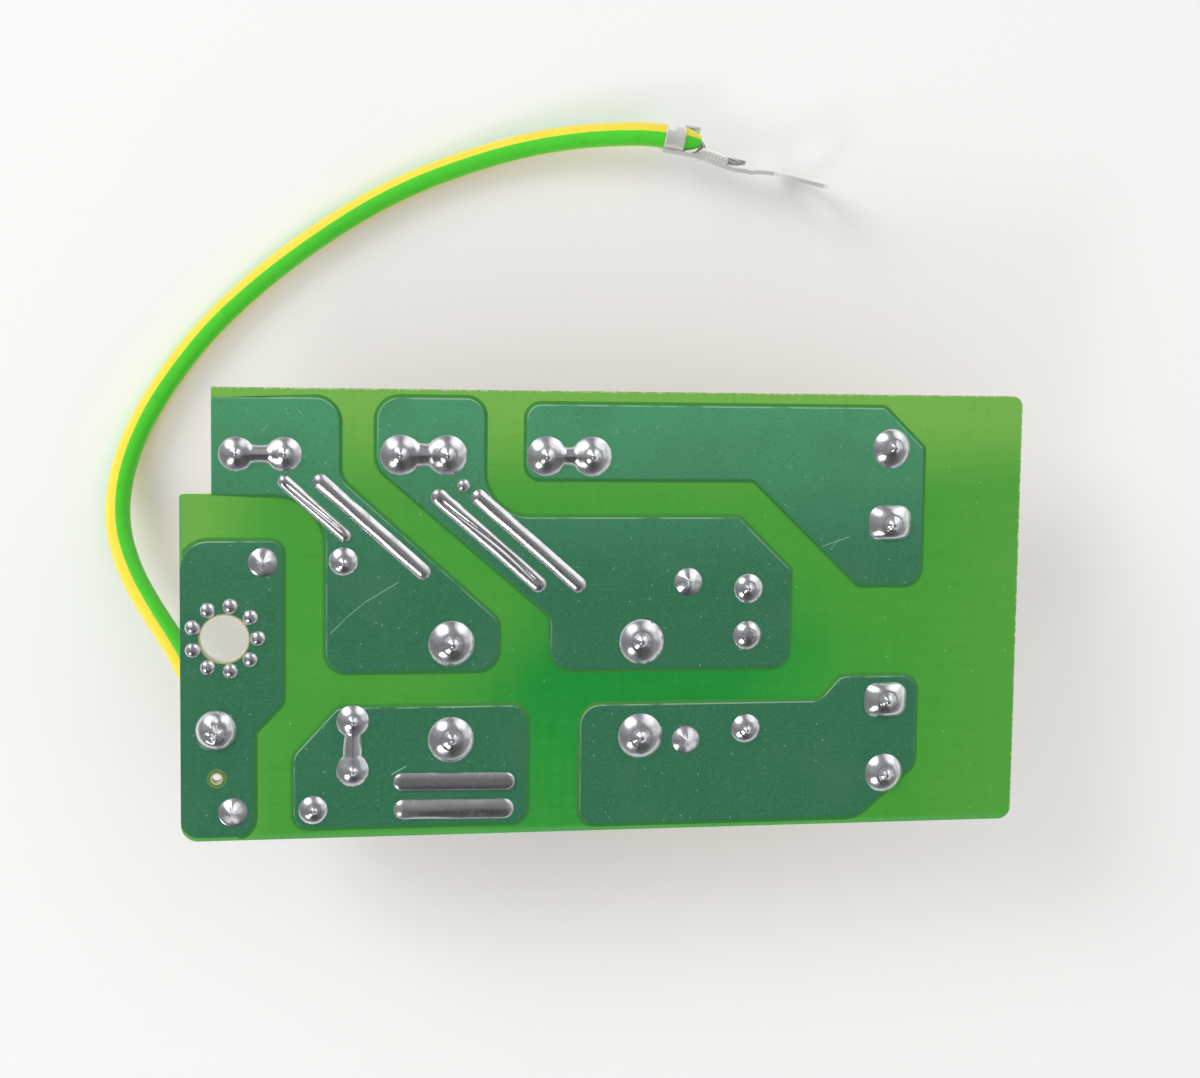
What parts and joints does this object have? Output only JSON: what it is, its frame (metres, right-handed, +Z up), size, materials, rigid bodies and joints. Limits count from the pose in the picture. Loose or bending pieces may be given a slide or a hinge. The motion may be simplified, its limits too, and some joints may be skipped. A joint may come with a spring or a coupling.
{
  "type": "microwave noise filter board",
  "caption": "Mains noise filter circuit board for a microwave oven, solder side up, with choke, fuse, capacitors, push-on tabs and a green and yellow ground wire.",
  "frame": {"origin": "on the table under the middle of the board, the ground wire and its terminal left out", "axes": "+Z up through the solder side, +X along the board's long side away from the screw hole, +Y towards the row of tabs"},
  "size_m": [0.099, 0.0774, 0.0224],
  "materials": {
    "coated_laminate": "pale resin laminate under a translucent green mask, with rough sawn edges",
    "masked_copper": "copper under green mask, finely mottled",
    "tinned_tab": "tin plate",
    "clip_metal": "tinned spring brass",
    "fuse_ceramic": "unglazed ceramic",
    "fuse_cap": "nickel plate",
    "core_coating": "dark epoxy coat on ferrite",
    "choke_plastic": "moulded black plastic",
    "enamelled_copper": "clear enamel on copper wire",
    "capacitor_case": "moulded plastic box",
    "capacitor_epoxy": "dipped epoxy",
    "resistor_coating": "dipped lacquer",
    "tinned_lead": "tinned wire",
    "solder": "bright solder",
    "wire_insulation": "green and yellow striped insulation",
    "bare_conductor": "tinned copper strands",
    "terminal_metal": "bright tin plate"
  },
  "bodies": {
    "root": {"board_laminate": "coated_laminate", "copper_neutral_in": "masked_copper", "copper_neutral_out": "masked_copper", "copper_live_out": "masked_copper", "copper_live_in": "masked_copper", "copper_live_fused": "masked_copper", "copper_ground": "masked_copper", "tab_neutral_in": "tinned_tab", "tab_neutral_out": "tinned_tab", "tab_live_out": "tinned_tab", "tab_live_in": "tinned_tab", "fuse_clip_front": "clip_metal", "fuse_clip_rear": "clip_metal", "fuse_tube": "fuse_ceramic", "fuse_cap_front": "fuse_cap", "fuse_cap_rear": "fuse_cap", "choke_core": "core_coating", "choke_base": "choke_plastic", "choke_winding_neutral": "enamelled_copper", "choke_winding_live": "enamelled_copper", "x_capacitor_case": "capacitor_case", "x_capacitor_leads": "tinned_lead", "y_capacitor_neutral_body": "capacitor_epoxy", "y_capacitor_live_body": "capacitor_epoxy", "y_capacitor_neutral_leads": "tinned_lead", "y_capacitor_live_leads": "tinned_lead", "resistor_body": "resistor_coating", "resistor_leads": "tinned_lead", "solder_tab_neutral_in": "solder", "solder_tab_neutral_out": "solder", "solder_tab_live_out": "solder", "solder_tab_live_in": "solder", "solder_fuse_clip_front": "solder", "solder_fuse_clip_rear": "solder", "solder_choke": "solder", "solder_x_capacitor": "solder", "solder_resistor": "solder", "solder_y_capacitor_neutral": "solder", "solder_y_capacitor_live": "solder", "solder_ground_wire": "solder", "solder_spot": "solder", "solder_ring_beads": "solder", "solder_bars_neutral_in": "solder", "solder_bars_neutral_out": "solder", "solder_bars_live_in": "solder", "ground_wire_insulation": "wire_insulation", "ground_wire_core_board_end": "bare_conductor", "ground_wire_core_terminal_end": "bare_conductor", "ring_terminal": "terminal_metal"}
  },
  "joints": []
}
